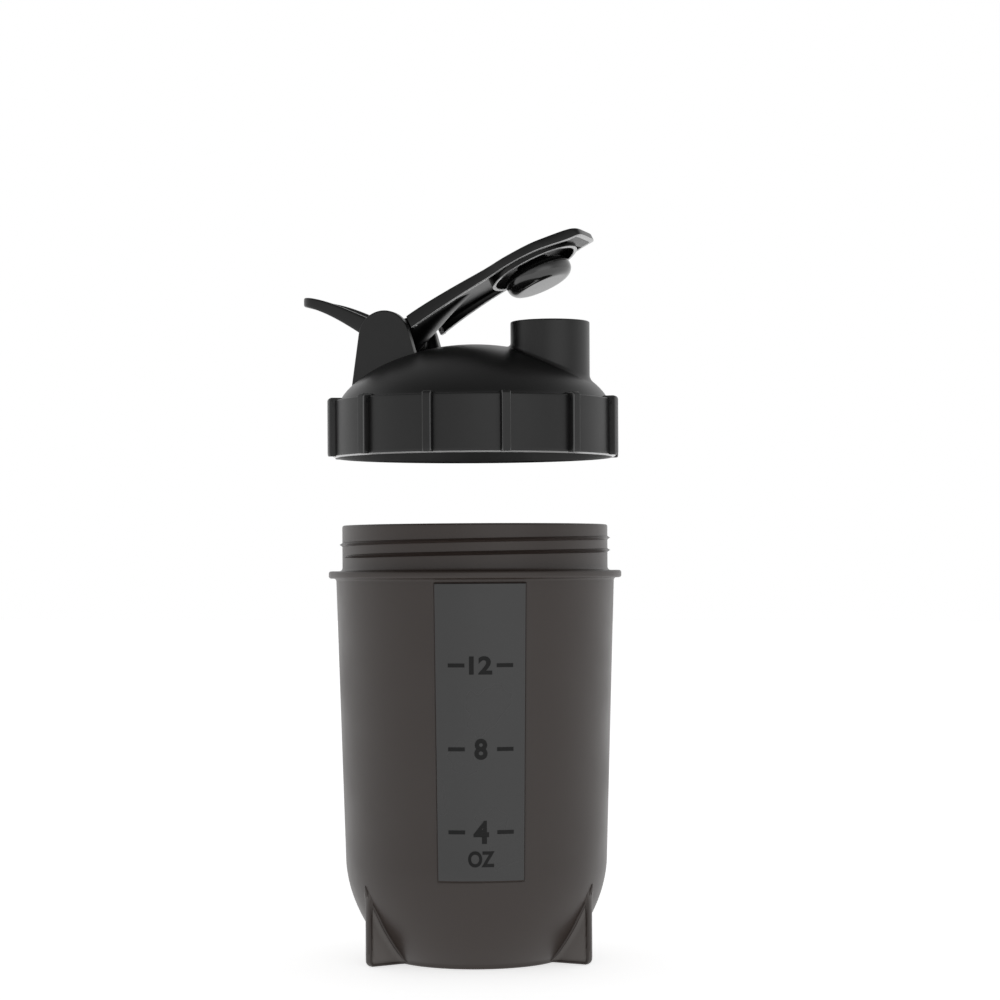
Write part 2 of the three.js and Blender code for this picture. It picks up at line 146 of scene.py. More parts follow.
# ------------------------------------------------------------------ cup
# One injection moulding in smoked translucent polypropylene: a tapered bowl with a rounded
# bottom, a flat base, a collar, and a neck with a right-hand thread. The scale panel stands
# slightly proud and is polished in the mould, where the rest is satin.

MM = 0.001
CUP_WALL = 1.6
CUP_FLOOR = 1.8
COLLAR_LOW, COLLAR_TOP, COLLAR_R = 115.0, 117.2, 44.35
RIM_Z, NECK_R, NECK_BORE_R = 131.0, 40.2, 38.8
BASE_EDGE, COLLAR_EDGE, RIM_EDGE, UNDER_COLLAR, OVER_COLLAR = 0.9, 0.7, 0.6, 0.8, 1.0
BODY_TOP_R, KNEE_R, KNEE_Z, KNEE_CURVE = 42.1, 39.6, 31.5, 0.0141
BORE_BLEND_Z = 100.0
PANEL_ANGLE, PANEL_HALF = -70.0, 18.3
PANEL_LOW, PANEL_TOP, PANEL_RISE = 27.5, 113.6, 0.4
THREAD_PITCH, THREAD_TURNS, THREAD_LOW, THREAD_START = 3.75, 2, 121.4, 198.0
THREAD_HEIGHT, THREAD_HALF = 0.85, 0.62


def arc(x, z, radius, first, last, steps):
    """Points on an arc about (x, z), from one angle to another in degrees."""
    angles = np.radians(np.linspace(first, last, steps + 1))
    return np.stack([x + radius * np.cos(angles), z + radius * np.sin(angles)], 1)


def grid_faces(rows, columns, closed=False):
    """Quads over a grid of points whose last column joins its first. closed also joins the last
    row to the first."""
    r = np.arange(rows if closed else rows - 1)[:, None]
    c = np.arange(columns)[None, :]
    up, along = (r + 1) % rows, (c + 1) % columns
    quads = [r * columns + c, r * columns + along, up * columns + along, up * columns + c]
    return np.stack(quads, -1).reshape(-1, 4)


def clean(mesh):
    """Merges points that meet, drops faces of no size and turns every face outwards."""
    tidy = bmesh.new()
    tidy.from_mesh(mesh)
    bmesh.ops.remove_doubles(tidy, verts=tidy.verts, dist=2e-6)
    bmesh.ops.dissolve_degenerate(tidy, edges=tidy.edges, dist=1e-7)
    bmesh.ops.recalc_face_normals(tidy, faces=tidy.faces)
    tidy.to_mesh(mesh)
    tidy.free()


def register(mesh, body, stands_for):
    """Puts a mesh in the scene as a piece that rides on a body in place of a CAD node."""
    piece = bpy.data.objects.new(mesh.name, mesh)
    scene.collection.objects.link(piece)
    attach(piece, body)
    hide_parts(stands_for)


def add_piece(name, grids, material, body, stands_for, sharp=38, detail=None):
    """One closed mesh from grids of points in millimetres. A grid's columns run round a loop.
    Its rows are open, with a flat face over each end that isn't a point or a line, or closed.
    Points that meet are merged, faces are turned to point outwards, and edges sharper than
    sharp degrees stay crisp. detail may give each face of the first grid a material index."""
    points, faces, start = [], [], 0
    for grid, closed in grids:
        rows, columns = grid.shape[:2]
        points.append(grid.reshape(-1, 3))
        faces += (grid_faces(rows, columns, closed) + start).tolist()
        for end in () if closed else (0, rows - 1):
            spread = np.linalg.svd(grid[end] - grid[end].mean(0), compute_uv=False)
            if spread[1] > 0.01:
                faces.append(list(range(start + end * columns, start + (end + 1) * columns)))
        start += rows * columns
    mesh = bpy.data.meshes.new(name)
    mesh.from_pydata(np.concatenate(points) * MM, [], faces)
    if detail is not None:
        index = np.zeros(len(mesh.polygons), np.int32)
        index[:len(detail)] = detail
        mesh.polygons.foreach_set("material_index", index)
    clean(mesh)
    mesh.shade_smooth()
    mesh.set_sharp_from_angle(angle=math.radians(sharp))
    for each in material if isinstance(material, list) else [material]:
        mesh.materials.append(each)
    register(mesh, body, stands_for)


def turned(profile, columns=192, centre=(0, 0)):
    """A profile of (radius, z) points turned about an upright axis."""
    around = np.linspace(0, 2 * np.pi, columns, endpoint=False)
    r, z = np.asarray(profile, float).T
    return np.stack([
        centre[0] + r[:, None] * np.cos(around),
        centre[1] + r[:, None] * np.sin(around),
        np.repeat(z[:, None], columns, 1),
    ], -1)


def smooth(x):
    """Nought below 0, one above 1, and a smooth step between."""
    x = np.clip(x, 0, 1)
    return x * x * (3 - 2 * x)


def moulded_plastic(name, colour, roughness, grain_mm, grain_depth_mm, cloud=0.05, specular=0.5):
    """Polypropylene as it comes from the mould: a fine even grain from the tool's surface, drawn
    a few times coarser than the real 0.1 mm so that it shows, and broad faint changes of gloss
    where the melt flowed."""
    material = bpy.data.materials.new(name)
    material.use_nodes = True
    tree = material.node_tree
    shader = tree.nodes["Principled BSDF"]
    place = add_node(tree, "ShaderNodeTexCoord").outputs["Object"]
    grain = add_node(tree, "ShaderNodeTexNoise",
                     {"Vector": place, "Scale": 1 / (grain_mm * MM), "Detail": 2.0})
    flow = add_node(tree, "ShaderNodeTexNoise",
                    {"Vector": place, "Scale": 1 / (22 * MM), "Detail": 3.0})
    gloss = add_node(tree, "ShaderNodeMapRange",
                     {"Value": flow.outputs["Fac"], "From Min": 0.3, "From Max": 0.7,
                      "To Min": roughness - cloud, "To Max": roughness + cloud})
    tree.links.new(gloss.outputs["Result"], shader.inputs["Roughness"])
    bump = add_node(tree, "ShaderNodeBump",
                    {"Height": grain.outputs["Fac"], "Distance": grain_depth_mm * MM,
                     "Strength": 0.6})
    tree.links.new(bump.outputs["Normal"], shader.inputs["Normal"])
    shader.inputs["Base Color"].default_value = linear(colour)
    shader.inputs["IOR"].default_value = 1.49
    shader.inputs["Specular IOR Level"].default_value = specular
    return material


def cup_radius(z):
    """The outside radius at height z: a straight taper down to the knee, then a bottom that
    rounds in by the square of the depth below the knee."""
    taper = KNEE_R + (BODY_TOP_R - KNEE_R) * (z - KNEE_Z) / (COLLAR_LOW - KNEE_Z)
    return np.where(z < KNEE_Z, KNEE_R - KNEE_CURVE * np.maximum(KNEE_Z - z, 0) ** 2, taper)


def cup_bore_radius(z):
    """The inside radius: one wall thickness in, measured square to the wall."""
    slope = 2 * KNEE_CURVE * np.maximum(KNEE_Z - z, 0)
    return cup_radius(z) - CUP_WALL * np.hypot(1, slope)


def upright(radius, low, high, count):
    """Points at even steps up a straight wall."""
    return np.stack([np.full(count, radius), np.linspace(low, high, count)], 1)


base_r = cup_radius(BASE_EDGE)
edges = np.array([-0.5, -0.3, -0.12, 0.0, 0.12, 0.3, 0.5])
body_z = np.unique(np.concatenate([
    np.linspace(BASE_EDGE, KNEE_Z, 34), np.linspace(KNEE_Z, COLLAR_LOW - UNDER_COLLAR, 30),
    PANEL_LOW + edges, PANEL_TOP + edges]))
outside = np.concatenate([
    [(0, 0), (12, 0), (base_r - 1.4, 0)],
    arc(base_r - BASE_EDGE, BASE_EDGE, BASE_EDGE, -75, -15, 3),
    np.stack([cup_radius(body_z), body_z], 1),
    arc(BODY_TOP_R + UNDER_COLLAR, COLLAR_LOW - UNDER_COLLAR, UNDER_COLLAR, 165, 90, 4),
    arc(COLLAR_R - COLLAR_EDGE, COLLAR_LOW + COLLAR_EDGE, COLLAR_EDGE, -90, 0, 5),
    arc(COLLAR_R - COLLAR_EDGE, COLLAR_TOP - COLLAR_EDGE, COLLAR_EDGE, 0, 90, 5),
    arc(NECK_R + OVER_COLLAR, COLLAR_TOP + OVER_COLLAR, OVER_COLLAR, -90, -180, 5),
    upright(NECK_R, COLLAR_TOP + 1.8, RIM_Z - 1.2, 8),
    arc(NECK_R - RIM_EDGE, RIM_Z - RIM_EDGE, RIM_EDGE, 0, 90, 5),
])
upper_z = np.linspace(BORE_BLEND_Z, KNEE_Z + 4, 10)
lower_z = np.linspace(KNEE_Z, CUP_FLOOR + 1.5, 20)
inside = np.concatenate([
    arc(NECK_BORE_R + RIM_EDGE, RIM_Z - RIM_EDGE, RIM_EDGE, 90, 180, 5),
    [(NECK_BORE_R, COLLAR_TOP + 2)],
    np.stack([cup_bore_radius(upper_z), upper_z], 1),
    np.stack([cup_bore_radius(lower_z), lower_z], 1),
    [(float(cup_bore_radius(CUP_FLOOR + 0.4)) - 0.4, CUP_FLOOR + 0.4),
     (float(cup_bore_radius(CUP_FLOOR)) - 1.4, CUP_FLOOR), (10, CUP_FLOOR), (0, CUP_FLOOR)],
])
profile = np.concatenate([outside, inside])
panel_turn = np.concatenate([PANEL_ANGLE + side * PANEL_HALF + edges * 1.4 for side in (-1, 1)])
columns = np.unique(np.concatenate([np.linspace(-180, 180, 241)[:-1], panel_turn]))
angle = np.radians(columns)[None, :]
r, z = profile[:, :1], profile[:, 1:]
across = (PANEL_HALF - np.abs(columns - PANEL_ANGLE))[None, :] * math.radians(41)
upward = np.minimum(z - PANEL_LOW, PANEL_TOP - z)
inward = np.minimum(across, upward)
on_outside = (np.arange(len(profile)) < len(outside))[:, None]
rise = PANEL_RISE * smooth(inward / 0.3 + 0.5) - 0.16 * np.exp(-((inward + 0.32) / 0.16) ** 2)
r = r + np.where(on_outside & (z > PANEL_LOW - 3), rise, 0)
bowl = np.stack([r * np.cos(angle), r * np.sin(angle), np.repeat(z, len(columns), 1)], -1)
face_inward = np.minimum(
    PANEL_HALF - np.abs(0.5 * (columns + np.roll(columns, -1)) - PANEL_ANGLE)[None, :],
    upward[:-1] * 1.4)
on_panel = (face_inward > 0) & on_outside[:-1] & (z[:-1] > PANEL_LOW - 1)

# The smoke tint is a warm brown, drawn opaque; the satin skin spreads the room's light into a
# soft grey veil. The panel is a little glossier, and its cooler, paler colour is a painted sheen,
# so it reads as a paler window.
smoked = moulded_plastic("smoked polypropylene, satin moulded", "#2d2521", 0.38, 0.5, 0.012)
panel_polish_and_painted_sheen = moulded_plastic("smoked polypropylene, polished panel with painted sheen", "#303030", 0.3, 0.6, 0.006)
add_piece("cup_bowl", [(bowl, False)], [smoked, panel_polish_and_painted_sheen], "cup", "cup",
          detail=on_panel.reshape(-1).astype(np.int32))

# The neck's thread: one start, two turns, a ridge with slightly hollow flanks that runs out
# to nothing at both ends. It is part of the cup moulding.


def thread_grid(wall_r, low, crest, steps=220):
    """A ridge carried round a helix: the angle and the height grow together, and the section's
    offsets from the wall are scaled by a fade at the two ends."""
    along = np.linspace(0, 1, steps)[:, None]
    out = np.array([-0.3, 0.0, 0.32, 0.75, 1.0, 0.75, 0.32, 0.0, -0.3])[None, :]
    up = np.array([-1.0, -1.0, -0.55, -0.2, 0.0, 0.2, 0.55, 1.0, 1.0])[None, :] * THREAD_HALF
    fade = smooth(np.minimum(along, 1 - along) * 18 + 0.02)
    radius = wall_r + crest * np.where(out > 0, out * fade, out)
    turn_angle = np.radians(THREAD_START + 360 * THREAD_TURNS * along)
    height = low + THREAD_PITCH * THREAD_TURNS * along + up * (0.3 + 0.7 * fade)
    ridge = np.stack([radius * np.cos(turn_angle), radius * np.sin(turn_angle), height], -1)
    return ridge


add_piece("neck_thread", [(thread_grid(NECK_R, THREAD_LOW, THREAD_HEIGHT), False)],
          smoked, "cup", "cup", sharp=70)

# Three feet, triangular plates that run from the rounded bottom down to the table, part of the
# cup moulding. Each has a thicker rim round its web and a bead along its root on both sides.

FOOT_ANGLES = (-130, -10, 110)
FOOT_R, FOOT_TOP = 38.4, 22.8
FOOT_RIM, FOOT_CORNER, WEB_HALF, RIM_EXTRA, ROOT_FLARE, BEAD_R = 1.2, 1.8, 0.95, 0.3, 0.9, 0.55


def about_axis(points, degrees):
    """Points turned about the cup's upright axis."""
    t = math.radians(degrees)
    return points @ np.array([[math.cos(t), math.sin(t), 0], [-math.sin(t), math.cos(t), 0],
                              [0, 0, 1]])


def foot_grid(turned_to):
    """A plate over a grid: across runs from inside the bowl's wall out to the outer edge, and
    up runs from the table to the tip. Its half-thickness is a web plus a rim near the outer
    edge and the table, and a flare at the root. It also says which faces are on the web."""
    up = np.concatenate([[0, 0.25, 0.6, 1.0, 1.5], np.linspace(2, FOOT_TOP, 36)])[:, None]
    share = np.concatenate([np.linspace(0, 0.86, 18), [0.9, 0.93, 0.96, 0.98, 1.0]])[None, :]
    below = np.maximum(FOOT_CORNER - up, 0)
    outer = FOOT_R - FOOT_CORNER + np.sqrt(FOOT_CORNER ** 2 - below ** 2)
    inner = np.minimum(cup_radius(up) - 1.2, outer - 0.05)
    x = inner + (outer - inner) * share
    from_edge = np.minimum(FOOT_R - x, up + 0.2)
    from_root = x - cup_radius(up)
    thick = WEB_HALF + RIM_EXTRA * (1 - smooth((from_edge - FOOT_RIM + 0.2) / 0.35))
    thick = thick + ROOT_FLARE * np.exp(-np.maximum(from_root, 0) / 0.5)
    rounding = np.clip(np.minimum(outer - x, up) / 0.35, 0, 1)
    thick = thick * np.sqrt(np.clip(1 - (1 - rounding) ** 2, 0.02, 1))
    sides = [np.stack([x, side * thick, np.repeat(up, x.shape[1], 1)], -1) for side in (-1, 1)]
    plate = np.concatenate([sides[0], sides[1][:, ::-1]], 1)
    middle = 0.25 * (from_edge[1:, 1:] + from_edge[:-1, 1:]
                     + from_edge[1:, :-1] + from_edge[:-1, :-1])
    seam = np.full((len(middle), 1), 0)
    on_web = np.concatenate([middle, seam, middle[:, ::-1], seam], 1) > FOOT_RIM
    return about_axis(plate, turned_to), on_web.reshape(-1).astype(np.int32)


def root_bead(turned_to, side):
    """A thin round bead on the bowl's bottom, beside the foot's root, from base to tip."""
    up = np.linspace(0.4, FOOT_TOP + 1.5, 40)
    around = np.linspace(0, 2 * np.pi, 12, endpoint=False)
    gap = 2.5 * (1 - smooth((up - 14) / (FOOT_TOP - 12.5)))
    radius = cup_radius(up)
    middle = np.stack([np.sqrt(radius ** 2 - gap ** 2), side * gap, up], 1)
    along = np.gradient(middle, axis=0)
    along /= np.linalg.norm(along, axis=1, keepdims=True)
    sideways = np.array([0, 1.0, 0])
    out = np.cross(along, sideways)
    bead = BEAD_R * np.sqrt(np.clip(1 - (np.linspace(-1, 1, 40)) ** 6, 0, 1))[:, None, None]
    ring = middle[:, None] + bead * (np.cos(around)[None, :, None] * out[:, None]
                                     + np.sin(around)[None, :, None] * sideways)
    return about_axis(ring, turned_to)


# The webs are thin and look paler than the cup. A lighter opaque colour stands in for the light
# that comes through them.
thin_smoked = moulded_plastic("smoked polypropylene, thin web", "#56514e", 0.38, 0.5, 0.012)
for number, foot_angle in enumerate(FOOT_ANGLES, 1):
    plate, on_web = foot_grid(foot_angle)
    beads = [(root_bead(foot_angle, side), False) for side in (-1, 1)]
    add_piece(f"foot_{number}", [(plate, False), *beads], [smoked, thin_smoked],
              "cup", "cup", sharp=50, detail=on_web)

# The scale: 4, 8 and 12 oz with a dash on either side, stamped on the panel in a thin matt
# dark film. The numerals stand a tenth of a millimetre proud, as a hot-stamped foil does.

MARK_RISE = 0.1
DASH = (4.85, 1.13)
DASH_AT = 7.1
MARKS = (("12", 90.0, 6.7, 5.3), ("8", 65.8, 3.8, 6.1), ("4", 41.8, 4.5, 6.7),
         ("OZ", 34.0, 7.7, 4.7))


def on_panel_face(x, z, out):
    """Bends flat x, z and out round the panel: x becomes an arc length about the cup's axis."""
    radius = cup_radius(z) + PANEL_RISE + out
    t = math.radians(PANEL_ANGLE) + x / radius
    return np.stack([radius * np.cos(t), radius * np.sin(t), z + 0 * t], -1)


def numeral(text, z, width, height):
    """Text as a closed slab, scaled to its width and height and bent round the panel."""
    curve = bpy.data.curves.new(text, "FONT")
    curve.body = text
    curve.offset = 0.035
    curve.extrude = 0.05
    curve.resolution_u = 6
    holder = bpy.data.objects.new(text, curve)
    scene.collection.objects.link(holder)
    flat = bpy.data.meshes.new_from_object(
        holder.evaluated_get(bpy.context.evaluated_depsgraph_get()))
    bpy.data.objects.remove(holder)
    points = np.empty(len(flat.vertices) * 3)
    flat.vertices.foreach_get("co", points)
    points = points.reshape(-1, 3)
    low, high = points.min(0), points.max(0)
    share = (points - (low + high) / 2) / (high - low)
    out = np.where(share[:, 2] > 0, MARK_RISE, -0.15)
    bent = on_panel_face(share[:, 0] * width, z + share[:, 1] * height, out)
    return bent, [tuple(face.vertices) for face in flat.polygons]


def dash(x, z):
    """A flat bar, bent round the panel."""
    across = np.linspace(-0.5, 0.5, 7) * DASH[0] + x
    section = np.array([(-0.5, -0.15), (-0.5, MARK_RISE), (0.5, MARK_RISE), (0.5, -0.15)])
    grid = on_panel_face(across[:, None], z + section[None, :, 0] * DASH[1], section[None, :, 1])
    ends = [(3, 2, 1, 0), tuple(range(len(grid) * 4 - 4, len(grid) * 4))]
    return grid.reshape(-1, 3), [tuple(f) for f in grid_faces(len(grid), 4).tolist()] + ends


slabs = [numeral(*mark) for mark in MARKS]
slabs += [dash(side * DASH_AT, z) for _, z, _, _ in MARKS[:3] for side in (-1, 1)]
points, faces = [], []
for slab_points, slab_faces in slabs:
    start = sum(map(len, points))
    points.append(slab_points)
    faces += [tuple(start + i for i in face) for face in slab_faces]
mesh = bpy.data.meshes.new("scale_marks")
mesh.from_pydata(np.concatenate(points) * MM, [], faces)
clean(mesh)
# Matt and dark, so it stays flat where the panel catches the light.
ink = moulded_plastic("stamped dark foil, matt", "#121212", 0.62, 0.3, 0.004, specular=0.25)
mesh.materials.append(ink)
register(mesh, "cup", "cup")

# ------------------------------------------------------------------ mixing ball
# One length of 2.2 mm stainless wire, wound from pole to pole of a 48 mm ball on a spring
# coiler and polished. It lies loose in the cup.

BALL_R, WIRE_R, BALL_TURNS, POLE_ANGLE, WIRE_STEPS = 24.0, 1.1, 8, 10.0, 900


def wire_grid(centre):
    """A round section carried along a spiral on a sphere: the angle from the pole and the turn
    grow together. The wire's ends are domed."""
    t = np.linspace(0, 1, WIRE_STEPS)
    polar = np.radians(POLE_ANGLE + t * (180 - 2 * POLE_ANGLE))
    turning = 2 * np.pi * BALL_TURNS * t
    out = np.stack([np.sin(polar) * np.cos(turning), np.sin(polar) * np.sin(turning),
                    np.cos(polar)], 1)
    middle = (BALL_R - WIRE_R) * out
    along = np.gradient(middle, axis=0)
    along /= np.linalg.norm(along, axis=1, keepdims=True)
    across = np.cross(along, out)
    around = np.linspace(0, 2 * np.pi, 14, endpoint=False)[None, :, None]
    length = np.minimum(np.arange(WIRE_STEPS), np.arange(WIRE_STEPS)[::-1])
    size = WIRE_R * np.sqrt(1 - np.clip(1 - length / 2, 0, 1) ** 2)[:, None, None]
    ring = middle[:, None] + size * (np.cos(around) * out[:, None]
                                     + np.sin(around) * across[:, None])
    return ring + np.array(centre)


# Drawing leaves fine streaks that polishing softens: bright lines with slightly broken edges.
steel = bpy.data.materials.new("stainless steel wire, drawn and polished")
steel.use_nodes = True
shader = steel.node_tree.nodes["Principled BSDF"]
place = add_node(steel.node_tree, "ShaderNodeTexCoord").outputs["Object"]
drawing = add_node(steel.node_tree, "ShaderNodeTexNoise",
                   {"Vector": place, "Scale": 1 / (0.8 * MM), "Detail": 4.0})
rub = add_node(steel.node_tree, "ShaderNodeMapRange",
               {"Value": drawing.outputs["Fac"], "To Min": 0.14, "To Max": 0.3})
steel.node_tree.links.new(rub.outputs["Result"], shader.inputs["Roughness"])
shader.inputs["Base Color"].default_value = linear("#c9c7c3")
shader.inputs["Metallic"].default_value = 1.0
ball_low, ball_high = (np.array(corner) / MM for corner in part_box("mixing_ball"))
ball_centre = (0, 0, (ball_low[2] + ball_high[2]) / 2)
add_piece("wire_ball", [(wire_grid(ball_centre), False)], steel, "ball",
          "mixing_ball")

# ------------------------------------------------------------------ lid
# One injection moulding in black polypropylene, satin from the mould: a ribbed skirt, a dome,
# a spout that stands up from it, and two hinge ears. All heights are from the skirt's lower
# edge. The shell is one surface: a stack of circles whose centres slide from the lid's axis
# to the spout's as they climb the dome, go up the spout, down its bore and back under.

LID_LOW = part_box("lid")[0].z / MM
SKIRT_R, SKIRT_TOP, LID_BORE_R, CEILING_Z = 42.9, 17.2, 41.7, 15.7
DOME_R, DOME_RISE, DOME_POWER = 40.6, 17.1, 0.72
HOLLOW_R, HOLLOW_RISE = 38.3, 16.8
PLUG_OUTER_R, PLUG_INNER_R, PLUG_LOW = 37.3, 36.0, 12.8
SPOUT_X, SPOUT_R, SPOUT_BORE_R, SPOUT_TOP = 24.1, 11.9, 10.75, 40.5
SPOUT_FILLET, SPOUT_EDGE, LID_COLUMNS = 1.2, 0.45, 288


def dome_height(radius, base_r, base_z, rise):
    """The dome's height at a distance from the axis: an ellipse's arch, a little fuller."""
    return base_z + rise * np.clip(1 - (radius / base_r) ** 2, 0, 1) ** DOME_POWER


def circles(centre_x, radius, height):
    """Rows of points on circles. height is a number for each, or a function of the distance
    from the lid's axis."""
    around = np.linspace(0, 2 * np.pi, LID_COLUMNS, endpoint=False)[None, :]
    radius = np.asarray(radius, float).reshape(-1, 1)
    x = np.asarray(centre_x, float).reshape(-1, 1) + radius * np.cos(around)
    y = radius * np.sin(around)
    if callable(height):
        z = height(np.hypot(x, y))
    else:
        z = np.broadcast_to(np.asarray(height, float).reshape(-1, 1), x.shape)
    return np.stack([x, y, z], -1)


def outer_dome(distance):
    """The dome's outside."""
    return dome_height(distance, DOME_R, SKIRT_TOP, DOME_RISE)


def inner_dome(distance):
    """The hollow under the dome."""
    return dome_height(distance, HOLLOW_R, CEILING_Z, HOLLOW_RISE)


skirt = np.concatenate([
    [(LID_BORE_R + 0.2, 0), (SKIRT_R - 0.1, 0.42), (SKIRT_R, 0.6), (SKIRT_R, 1.2), (SKIRT_R, 8),
     (SKIRT_R, SKIRT_TOP - 1.2)],
    arc(SKIRT_R - 0.5, SKIRT_TOP - 0.5, 0.5, 0, 90, 5), [(DOME_R + 0.7, SKIRT_TOP)],
])
climb = (1 - np.cos(np.linspace(0, 1, 44) * np.pi / 2)) ** 0.9
fillet = np.linspace(0, 1, 7)
dome_circles = circles(SPOUT_X * climb,
                       DOME_R - 0.02 + (SPOUT_R + SPOUT_FILLET - DOME_R) * climb, outer_dome)
base_of_spout = circles(SPOUT_X, SPOUT_R + SPOUT_FILLET * (1 - np.sin(fillet * np.pi / 2)),
                        outer_dome)
base_of_spout[:, :, 2] += SPOUT_FILLET * (1 - np.cos(fillet * np.pi / 2))[:, None]
wall_foot = base_of_spout[-1]
wall_share = np.linspace(0, 1, 8)[1:, None]
spout_wall = np.repeat(wall_foot[None], 7, 0)
spout_wall[:, :, 2] += (SPOUT_TOP - 0.6 - wall_foot[None, :, 2]) * wall_share
rim = np.concatenate([
    arc(SPOUT_R - SPOUT_EDGE, SPOUT_TOP - SPOUT_EDGE, SPOUT_EDGE, 10, 90, 5),
    arc(SPOUT_BORE_R + SPOUT_EDGE, SPOUT_TOP - SPOUT_EDGE, SPOUT_EDGE, 90, 180, 5)])
bore_foot = circles(SPOUT_X, SPOUT_BORE_R, inner_dome)[0]
bore_wall = np.repeat(bore_foot[None], 6, 0)
bore_share = np.linspace(1, 0, 7)[1:, None]
bore_wall[:, :, 2] += (SPOUT_TOP - 1.2 - bore_foot[None, :, 2]) * bore_share
under = np.linspace(0, 1, 22)[1:]
hollow_circles = circles(SPOUT_X * (1 - under),
                         SPOUT_BORE_R + (PLUG_INNER_R - SPOUT_BORE_R) * under, inner_dome)
seat = np.array([
    (PLUG_INNER_R, PLUG_LOW + 0.3), (PLUG_INNER_R + 0.3, PLUG_LOW),
    (PLUG_OUTER_R - 0.3, PLUG_LOW), (PLUG_OUTER_R, PLUG_LOW + 0.3),
    (PLUG_OUTER_R, CEILING_Z - 0.3), (PLUG_OUTER_R + 0.3, CEILING_Z),
    (LID_BORE_R - 0.3, CEILING_Z), (LID_BORE_R, CEILING_Z - 0.3), (LID_BORE_R, 8),
    (LID_BORE_R, 0.6), (LID_BORE_R + 0.1, 0.25),
])
shell = np.concatenate([
    circles(0, skirt[:, 0], skirt[:, 1]), dome_circles, base_of_spout, spout_wall,
    circles(SPOUT_X, rim[:, 0], rim[:, 1]), bore_wall, hollow_circles,
    circles(0, seat[:, 0], seat[:, 1]),
])
lid_place = np.array([0, 0, LID_LOW])
# Carbon-black plastic with the mould's satin: no colour of its own, a broad grey sheen. A narrow
# pale, shiny band on the bevel at the skirt's mouth stands in for the glint along that edge. The
# flip cap's lower edge and ring use it too.
black = moulded_plastic("black polypropylene, satin moulded", "#0a0a0a", 0.36, 0.45, 0.012,
                        specular=0.46)
bright_edge = moulded_plastic("black polypropylene, bright edge", "#9c9c9c", 0.2, 0.45, 0.002,
                               specular=1.0)
mouth = np.zeros(shell.shape[:2], np.int32)
mouth[0] = 1
add_piece("lid_shell", [(shell + lid_place, True)], [black, bright_edge], "lid", "lid",
          sharp=30, detail=mouth.reshape(-1))

# Twelve grip ribs, part of the lid moulding: a rounded bar up the skirt that hooks over the
# shoulder and dies into the foot of the dome.

RIB_COUNT, RIB_WIDTH, RIB_R, RIB_TOP = 12, 3.0, 44.9, 17.9


def rib_grid(turned_to):
    """A rounded section carried up the skirt, round a quarter bend and in over the shoulder."""
    path = np.concatenate([
        [(RIB_R, 0.3), (RIB_R, 0.6), (RIB_R, 1.2)], upright(RIB_R, 3, 15.5, 6),
        arc(RIB_R - 1.1, RIB_TOP - 1.1, 1.1, 0, 90, 6),
        [(RIB_R - 1.8, RIB_TOP), (41.6, RIB_TOP), (41.0, RIB_TOP), (40.6, RIB_TOP)],
    ])
    along = np.gradient(path, axis=0)
    along /= np.linalg.norm(along, axis=1, keepdims=True)
    out = np.stack([along[:, 1], -along[:, 0]], 1)
    half = RIB_WIDTH / 2
    half_side = np.array([1.03, 1.0, 0.95, 0.9, 0.83, 0.74, 0.66, 0.35])
    half_depth = np.array([2.7, 1.9, 0.9, 0.42, 0.12, 0.02, 0.0, 0.0])
    side = np.concatenate([-half_side, [0], half_side[::-1]])
    depth = np.concatenate([half_depth, [0], half_depth[::-1]])
    shrink = np.ones(len(path))
    shrink[0], shrink[1], shrink[-1] = 0.72, 0.93, 0.8
    radial = path[:, :1] - out[:, :1] * (depth[None] + (1 - shrink[:, None]) * 0.9)
    height = path[:, 1:] - out[:, 1:] * (depth[None] + (1 - shrink[:, None]) * 0.9)
    width = side[None] * half * (0.5 + 0.5 * shrink[:, None])
    bar = np.stack([radial, width, height], -1)
    return about_axis(bar, turned_to) + lid_place


# A narrow, slightly paler and shinier band stands in for the glint on the ribs' corners.
bright_corner = moulded_plastic("black polypropylene, bright corner", "#262626", 0.22, 0.45, 0.002,
                         specular=1.0)
for number in range(RIB_COUNT):
    rib = rib_grid(360 * number / RIB_COUNT)
    corners = np.zeros((len(rib) - 1, rib.shape[1]), np.int32)
    corners[:, [3, 4, rib.shape[1] - 6, rib.shape[1] - 5]] = 1
    add_piece(f"grip_rib_{number + 1:02d}", [(rib, False)], [black, bright_corner], "lid", "lid",
              sharp=50, detail=corners.reshape(-1))

lid_thread = thread_grid(LID_BORE_R, THREAD_LOW - COLLAR_TOP - THREAD_PITCH / 2, -0.42)
add_piece("lid_thread", [(lid_thread + lid_place, False)], black, "lid", "lid",
          sharp=70)

# Two hinge ears, part of the lid moulding: flat plates with a round head about the hinge axis.
# The cap's axles snap into blind sockets on their inner faces.

flip_joint = next(j for j in frame["joints"] if j["name"] == "cap_flip")
HINGE = np.array(flip_joint["pos_m"]) / MM
EAR_R, EAR_INNER_Y, EAR_OUTER_Y, EAR_EDGE = 8.0, 11.6, 14.7, 0.45


def doubled_area(outline):
    """Twice a closed outline's area: positive where it runs anticlockwise."""
    after = np.roll(outline, -1, 0)
    return np.sum(outline[:, 0] * after[:, 1] - after[:, 0] * outline[:, 1])


